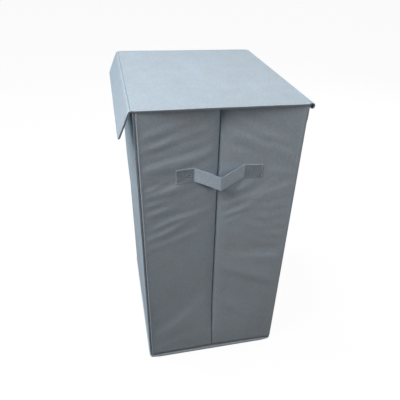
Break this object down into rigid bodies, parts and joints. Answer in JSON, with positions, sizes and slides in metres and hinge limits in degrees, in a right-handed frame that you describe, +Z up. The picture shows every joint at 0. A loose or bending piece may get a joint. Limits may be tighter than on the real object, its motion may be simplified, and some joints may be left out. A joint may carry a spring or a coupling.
{
  "type": "laundry hamper with lid",
  "caption": "Tall folding laundry hamper of cloth-covered board panels, with side gussets that fold inwards, carrying straps, and a hinged lid with a front flap.",
  "frame": {"origin": "on the floor, under the middle of the base", "axes": "+Z up, front wall and flap towards -Y, lid hinge towards +Y, gussets at +X and -X"},
  "size_m": [0.393, 0.3361, 0.6048],
  "materials": {
    "cover_cloth": "matte non-woven",
    "lining_cloth": "matte non-woven",
    "binding_cloth": "matte",
    "webbing": "matte woven",
    "board": "matte"
  },
  "bodies": {
    "back": {"back_board": "board", "back_cover": "cover_cloth", "back_lining": "lining_cloth", "base_insert_board": "board", "base_insert_cover": "lining_cloth", "bottom_rim": "binding_cloth", "bottom_sheet": "lining_cloth", "lid_hinge_hem": "binding_cloth"},
    "flap": {"flap_board": "board", "flap_cover": "cover_cloth", "flap_lining": "lining_cloth"},
    "lid": {"flap_crease": "binding_cloth", "lid_board": "board", "lid_cover": "cover_cloth", "lid_lining": "lining_cloth"},
    "front": {"front_board": "board", "front_cover": "cover_cloth", "front_lining": "lining_cloth"},
    "left_front_gusset": {"left_front_gusset_board": "board", "left_front_gusset_cover": "cover_cloth", "left_front_gusset_lining": "lining_cloth", "left_front_gusset_seam": "binding_cloth", "left_front_strap_end": "webbing"},
    "left_front_strap": {"left_front_strap": "webbing"},
    "left_rear_gusset": {"left_rear_gusset_board": "board", "left_rear_gusset_cover": "cover_cloth", "left_rear_gusset_lining": "lining_cloth", "left_rear_gusset_seam": "binding_cloth", "left_rear_strap_end": "webbing"},
    "left_rear_strap": {"left_rear_strap": "webbing"},
    "right_front_gusset": {"right_front_gusset_board": "board", "right_front_gusset_cover": "cover_cloth", "right_front_gusset_lining": "lining_cloth", "right_front_gusset_seam": "binding_cloth", "right_front_strap_end": "webbing"},
    "right_front_strap": {"right_front_strap": "webbing"},
    "right_rear_gusset": {"right_rear_gusset_board": "board", "right_rear_gusset_cover": "cover_cloth", "right_rear_gusset_lining": "lining_cloth", "right_rear_gusset_seam": "binding_cloth", "right_rear_strap_end": "webbing"},
    "right_rear_strap": {"right_rear_strap": "webbing"}
  },
  "joints": [
    {"name": "wall_fold", "type": "hinge", "parent": "back", "child": "right_rear_gusset", "pos_m": [0.189, 0.146, 0.3035], "axis": [0, 0, -1], "range_deg": [0, 75]},
    {"name": "right_centre_fold", "type": "hinge", "parent": "right_rear_gusset", "child": "right_front_gusset", "pos_m": [0.1749, 0, 0.3035], "axis": [0, 0, 1], "range_deg": [0, 150.01]},
    {"name": "right_front_fold", "type": "hinge", "parent": "right_front_gusset", "child": "front", "pos_m": [0.189, -0.146, 0.3035], "axis": [0, 0, -1], "range_deg": [0, 75.01]},
    {"name": "left_rear_fold", "type": "hinge", "parent": "back", "child": "left_rear_gusset", "pos_m": [-0.189, 0.146, 0.3035], "axis": [0, 0, 1], "range_deg": [0, 75.01]},
    {"name": "left_centre_fold", "type": "hinge", "parent": "left_rear_gusset", "child": "left_front_gusset", "pos_m": [-0.1749, 0, 0.3035], "axis": [0, 0, -1], "range_deg": [0, 150.01]},
    {"name": "right_rear_strap_fold", "type": "hinge", "parent": "right_rear_gusset", "child": "right_rear_strap", "pos_m": [0.182, 0.04547, 0.478], "axis": [0, 0, 1], "range_deg": [0, 143.12]},
    {"name": "right_front_strap_fold", "type": "hinge", "parent": "right_front_gusset", "child": "right_front_strap", "pos_m": [0.182, -0.04547, 0.478], "axis": [0, 0, -1], "range_deg": [0, 143.12]},
    {"name": "left_rear_strap_fold", "type": "hinge", "parent": "left_rear_gusset", "child": "left_rear_strap", "pos_m": [-0.182, 0.04547, 0.478], "axis": [0, 0, -1], "range_deg": [0, 143.12]},
    {"name": "left_front_strap_fold", "type": "hinge", "parent": "left_front_gusset", "child": "left_front_strap", "pos_m": [-0.182, -0.04547, 0.478], "axis": [0, 0, 1], "range_deg": [0, 143.12]},
    {"name": "lid_hinge", "type": "hinge", "parent": "back", "child": "lid", "pos_m": [0, 0.1552, 0.5996], "axis": [1, 0, 0], "range_deg": [-245, 0]},
    {"name": "flap_fold", "type": "hinge", "parent": "lid", "child": "flap", "pos_m": [0, -0.15455, 0.60265], "axis": [-1, 0, 0], "range_deg": [-24, 66]}
  ],
  "couplings": [
    {"joint": "right_centre_fold", "follows": "wall_fold", "ratio": 2},
    {"joint": "right_front_fold", "follows": "wall_fold", "ratio": 1},
    {"joint": "left_rear_fold", "follows": "wall_fold", "ratio": 1},
    {"joint": "left_centre_fold", "follows": "wall_fold", "ratio": 2},
    {"joint": "right_rear_strap_fold", "follows": "wall_fold", "ratio": 1.9081},
    {"joint": "right_front_strap_fold", "follows": "wall_fold", "ratio": 1.9081},
    {"joint": "left_rear_strap_fold", "follows": "wall_fold", "ratio": 1.9081},
    {"joint": "left_front_strap_fold", "follows": "wall_fold", "ratio": 1.9081}
  ]
}
